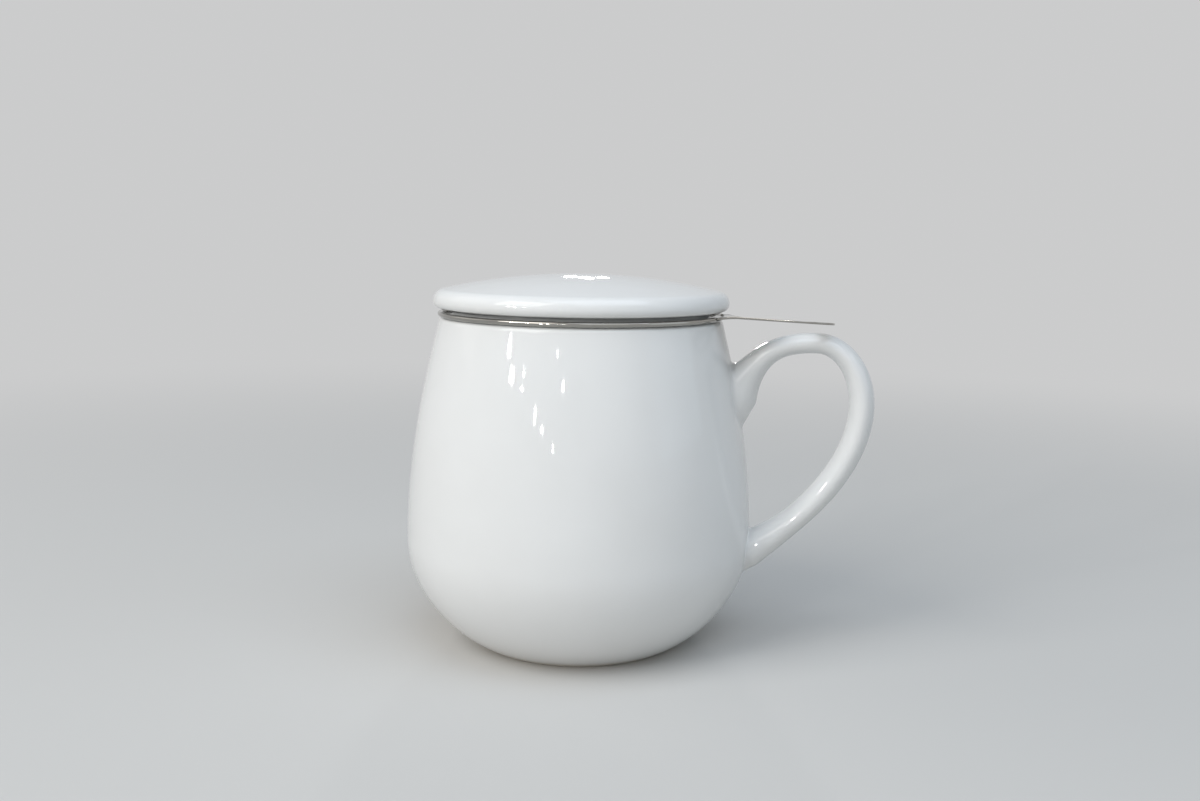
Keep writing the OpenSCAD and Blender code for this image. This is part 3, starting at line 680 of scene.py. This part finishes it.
def stamped_tab(shell):
    """Rays from the hole's centre to the outline, each a closed line round the sheet with eased edges."""
    end_r = TAB_W / 2
    centre = np.array([tab_end_r - end_r, 0])
    corner = np.array([tab_root_r, TAB_ROOT_W / 2]) - centre
    corner_a = math.degrees(math.atan2(corner[1], corner[0]))
    touch = corner_a - math.degrees(math.acos(end_r / np.linalg.norm(corner)))

    def outline(a):
        b = abs(a if a <= 180 else a - 360)
        if b < touch:
            return end_r
        if b < corner_a:
            return end_r / math.cos(math.radians(b - touch))
        return corner[0] / math.cos(math.radians(b))

    stops = (-touch, touch, corner_a, 360 - corner_a, 360 - touch)
    shares = (END_RAYS, SIDE_RAYS, SIDE_RAYS, SIDE_RAYS)
    runs = [np.linspace(a, b, n, endpoint=False) for a, b, n in zip(stops, stops[1:], shares)]
    half = TAB_T / 2 - TAB_EDGE
    eased = [(TAB_EDGE * math.sin(e), half + TAB_EDGE * math.cos(e)) for e in np.radians([0, 30, 60, 90])]
    rings = []
    for a in np.concatenate(runs):
        out, far = along(a), outline(a)
        spans = np.linspace(TAB_HOLE_R + TAB_EDGE, far - TAB_EDGE, RAY_STEPS)
        outer = [(far - TAB_EDGE + run, w) for run, w in eased]
        inner = [(TAB_HOLE_R + TAB_EDGE - run, w) for run, w in eased]
        section = [(r, TAB_T / 2) for r in spans[1:-1]] + outer + [(r, -w) for r, w in outer[::-1]]
        section += [(r, -TAB_T / 2) for r in spans[-2:0:-1]] + [(r, -w) for r, w in inner] + inner[::-1]
        place = np.array([centre + r * out for r, _ in section])
        heights = tab_height(place[:, 0], place[:, 1]) + [w for _, w in section]
        turned = Matrix.Rotation(math.radians(TAB_TURN), 3, "Z")
        rings.append([turned @ Vector((x, y, z)) for (x, y), z in zip(place, heights)])
    shell.rings(rings, loop=True)


tab_shell = Shell()
stamped_tab(tab_shell)
tab_shell.piece("stamped_lift_tab", [shaded_polished], "infuser", "infuser_tab", sharp=60)

# ---------------------------------------------------------------- lid
LID_OVERHANG, LID_RISE, EDGE_UPPER_R, EDGE_LOWER_R, LID_T, LID_GAP = 1.55, 9.6, 3.5, 1.8, 4.2, 1.0
RING_GAP, RING_H, RING_T, RING_CORNER = 1.0, 4.8, 3.4, 0.9
HOLLOW_EDGE, LID_SEAT_W, SEAT_SLOPE = 1.5, 3.6, 0.6
# A point this near the seat's height lies on the seat
SEAT_LEVEL = 0.01

lid_r = LIP_R + LID_OVERHANG
seat_h = rim_top + SEAT_GAP
ring_r = basket_in_r - RING_GAP
ring_in_r = ring_r - RING_T
lid_low = bead_c[1] + bead_r + LID_GAP
lid_top = lid_low + LID_RISE
edge_c = np.array([lid_r - EDGE_UPPER_R, lid_low + EDGE_LOWER_R])
dome_drop = lid_top - edge_c[1]
dome_r = (edge_c[0] ** 2 + dome_drop**2 - EDGE_UPPER_R**2) / (2 * (dome_drop - EDGE_UPPER_R))
dome_c = np.array([0, lid_top - dome_r])
dome_a = math.degrees(math.atan2(edge_c[1] - dome_c[1], edge_c[0]))
hollow_r = dome_r - LID_T
hollow_a = math.degrees(math.acos((ring_in_r - HOLLOW_EDGE) / hollow_r))
ring_corner_h = seat_h - RING_H + RING_CORNER
seat_out_r = ring_r + LID_SEAT_W
lid_profile = join(
    arc(dome_c, dome_r, 90, dome_a, 40),
    arc(edge_c, EDGE_UPPER_R, dome_a, 0, 24),
    arc((lid_r - EDGE_LOWER_R, edge_c[1]), EDGE_LOWER_R, 0, -90, 14),
    [(seat_out_r + SEAT_SLOPE, lid_low), (seat_out_r, seat_h)],
    [(ring_r + LID_SEAT_W / 2, seat_h), (ring_r, seat_h)],
    arc((ring_r - RING_CORNER, ring_corner_h), RING_CORNER, 0, -90, 8),
    arc((ring_in_r + RING_CORNER, ring_corner_h), RING_CORNER, 270, 180, 8),
    arc(dome_c, hollow_r, hollow_a, 90, 24),
)


def seat_slot(a, b):
    """The seat that the lid stands on in the kiln is bare."""
    return 1 if max(abs(a[1] - seat_h), abs(b[1] - seat_h)) < SEAT_LEVEL else 0


lid_shell = Shell()
lid_shell.lathe(lid_profile[::-1], slot_of=seat_slot)
lid_shell.piece("glazed_domed_lid", [porcelain, bare], "lid", "lid", sharp=50)

# ---------------------------------------------------------------- floor and world
PALE = (0.66, 0.648, 0.628)
BOUNCE = (0.56, 0.545, 0.52)
BACKGROUND = (0.60, 0.603, 0.606)
SOFT = (0.86, 0.93, 1.0)
SOFT_LEVEL = 0.27
FADE_FROM, FADE_TO, FLOOR_SIZE = 0.12, 0.75, 4.0


def seen_mix(tree, seen, otherwise):
    """Light Path's camera, glossy and transmission rays see one shader, all others the other."""
    path = add(tree, "LightPath").outputs
    any_of = path["Is Camera Ray"]
    for ray in ("Is Glossy Ray", "Is Transmission Ray"):
        any_of = add(tree, "Math", {"operation": "MAXIMUM"}, links={0: any_of, 1: path[ray]}).outputs[0]
    return add(tree, "MixShader", links={0: any_of, 1: otherwise, 2: seen}).outputs[0]


def pale_floor():
    """A pale matt floor that takes the shadow and turns into the background colour further out."""
    mesh = bpy.data.meshes.new("floor")
    s = FLOOR_SIZE
    mesh.from_pydata([(-s, -s, 0), (s, -s, 0), (s, s, 0), (-s, s, 0)], [], [[0, 1, 2, 3]])
    floor = bpy.data.objects.new("floor", mesh)
    bpy.context.scene.collection.objects.link(floor)
    m = bpy.data.materials.new("pale_floor")
    m.use_nodes = True
    tree = m.node_tree
    tree.nodes.remove(tree.nodes["Principled BSDF"])
    pale = add(tree, "BsdfDiffuse", inputs={"Color": (*PALE, 1)}).outputs[0]
    bounce = add(tree, "BsdfDiffuse", inputs={"Color": (*BOUNCE, 1)}).outputs[0]
    far = add(tree, "Emission", inputs={"Color": (*BACKGROUND, 1)}).outputs[0]
    where = add(tree, "TexCoord").outputs["Object"]
    distance = add(tree, "VectorMath", {"operation": "LENGTH"}, links={0: where}).outputs["Value"]
    fade = add(tree, "MapRange", {"interpolation_type": "SMOOTHSTEP"},
               {"From Min": FADE_FROM, "From Max": FADE_TO}, {"Value": distance})
    seen = add(tree, "MixShader", links={0: fade.outputs["Result"], 1: pale, 2: far}).outputs[0]
    tree.links.new(seen_mix(tree, seen, bounce), tree.nodes["Material Output"].inputs["Surface"])
    mesh.materials.append(m)


def studio_world():
    world = bpy.data.worlds.new("studio")
    world.use_nodes = True
    bpy.context.scene.world = world
    tree = world.node_tree
    background = tree.nodes["Background"]
    background.inputs["Color"].default_value = (*BACKGROUND, 1)
    background.inputs["Strength"].default_value = 1.0
    soft = add(tree, "Background", inputs={"Color": (*SOFT, 1), "Strength": SOFT_LEVEL}).outputs[0]
    surface = seen_mix(tree, background.outputs[0], soft)
    tree.links.new(surface, tree.nodes["World Output"].inputs["Surface"])


pale_floor()
studio_world()

# ---------------------------------------------------------------- lamps
MUG_MIDDLE = (0, 0, 0.06)


def direction(side, height):
    """A direction from the mug: degrees to the right of the camera, and above the table."""
    s, h = math.radians(side + TURN), math.radians(height)
    return Vector((math.sin(s) * math.cos(h), -math.cos(s) * math.cos(h), math.sin(h)))


def lamp(name, toward, distance, width, tall, radiance, color=(1, 1, 1), at=MUG_MIDDLE):
    """A rectangular lamp that faces the mug. radiance is what it looks like in a mirror, where 1 is white."""
    data = bpy.data.lights.new(name, "AREA")
    data.shape = "RECTANGLE"
    data.size, data.size_y = width, tall
    data.energy = radiance * math.pi * width * tall
    data.color = color
    ob = bpy.data.objects.new(name, data)
    ob.location = Vector(at) + toward * distance
    ob.rotation_euler = toward.to_track_quat("Z", "Y").to_euler()
    bpy.context.scene.collection.objects.link(ob)


lamp("key", direction(-52, 42), 1.6, 1.0, 1.0, 3.1, (1.0, 0.975, 0.93))
lamp("left", direction(-105, 30), 1.8, 1.2, 1.2, 0.4, (1.0, 0.98, 0.95))
lamp("front", direction(20, 24), 2.0, 1.2, 1.2, 0.22, (1.0, 0.99, 0.97))
lamp("fill", direction(75, 22), 1.8, 1.2, 1.2, 0.46, (0.72, 0.88, 1.0))
lamp("top", direction(34, 70), 1.4, 1.2, 1.2, 1.7, (0.78, 0.88, 1.0))

# ---------------------------------------------------------------- window panes
PANE_RADIANCE, PANE_DISTANCE = 150, 1.5
# A ray from the camera is followed between these distances and in these steps, in millimetres
NEAR, FAR, RAY_STEP = 230, 380, 0.01
FRAME_W, FRAME_H = 1200, 801
# Where the body shows a window of a room: across and down in the frame's pixels, then its pane's width and
# height in degrees
WINDOWS = {
    "tall_upper": (509, 351, 2.6, 1.1),
    "tall_lower": (512, 375, 3.0, 1.8),
    "small_upper": (524, 373, 1.5, 0.6),
    "small_lower": (522, 388, 2.0, 0.5),
    "slanted": (535, 415, 1.5, 2.6),
    "under_slanted": (542, 430, 1.5, 1.4),
    "lowest": (553, 449, 0.8, 1.2),
    "high": (557, 354, 1.2, 0.3),
    "middle": (563, 387, 1.0, 1.5),
}
# The panes of a window behind the mug, which the lid mirrors: side, height, width and height in degrees
BACK_PANES = [(181.5, 11, 0.9, 2.6), (180.5, 12, 0.8, 2.0), (180, 13, 0.6, 2.4), (179, 11, 0.9, 1.4)]
BACK_AIM = (0, -0.042, 0.075)


def mirrored(across, down):
    """The point of the body that a pixel shows, in millimetres, and the direction that it mirrors."""
    # The lens is as long as the sensor is wide, so it lies one frame's width in front of the pixels
    ray = ahead + (right * (across - FRAME_W / 2) + up * (FRAME_H / 2 - down)) / FRAME_W
    ray = np.array(ray.normalized())
    path = np.array(CAMERA_AT) / MM + ray * np.arange(NEAR, FAR, RAY_STEP)[:, None]
    inside = np.hypot(path[:, 0], path[:, 1]) < wall_radius(path[:, 2])
    x, y, z = path[np.argmax(inside)]
    slope = (wall_radius(z + LEAN_STEP) - wall_radius(z - LEAN_STEP)) / (2 * LEAN_STEP)
    normal = np.array([x, y, -slope * math.hypot(x, y)])
    normal /= np.linalg.norm(normal)
    return (x, y, z), ray - 2 * ray.dot(normal) * normal


def pane(name, toward, wide, tall, at):
    """A small bright lamp, as wide and tall as these degrees, that stands off in a direction from a point."""
    width, height = (PANE_DISTANCE * math.radians(a) for a in (wide, tall))
    lamp(name, toward, PANE_DISTANCE, width, height, PANE_RADIANCE, at=at)


for name, (across, down, wide, tall) in WINDOWS.items():
    point, toward = mirrored(across, down)
    pane("pane_" + name, Vector(toward), wide, tall, at=Vector(point) * MM)
for number, (side, height, wide, tall) in enumerate(BACK_PANES):
    pane("pane_back_%d" % number, direction(side, height), wide, tall, at=BACK_AIM)

# ---------------------------------------------------------------- view
bpy.context.scene.view_settings.view_transform = "Standard"
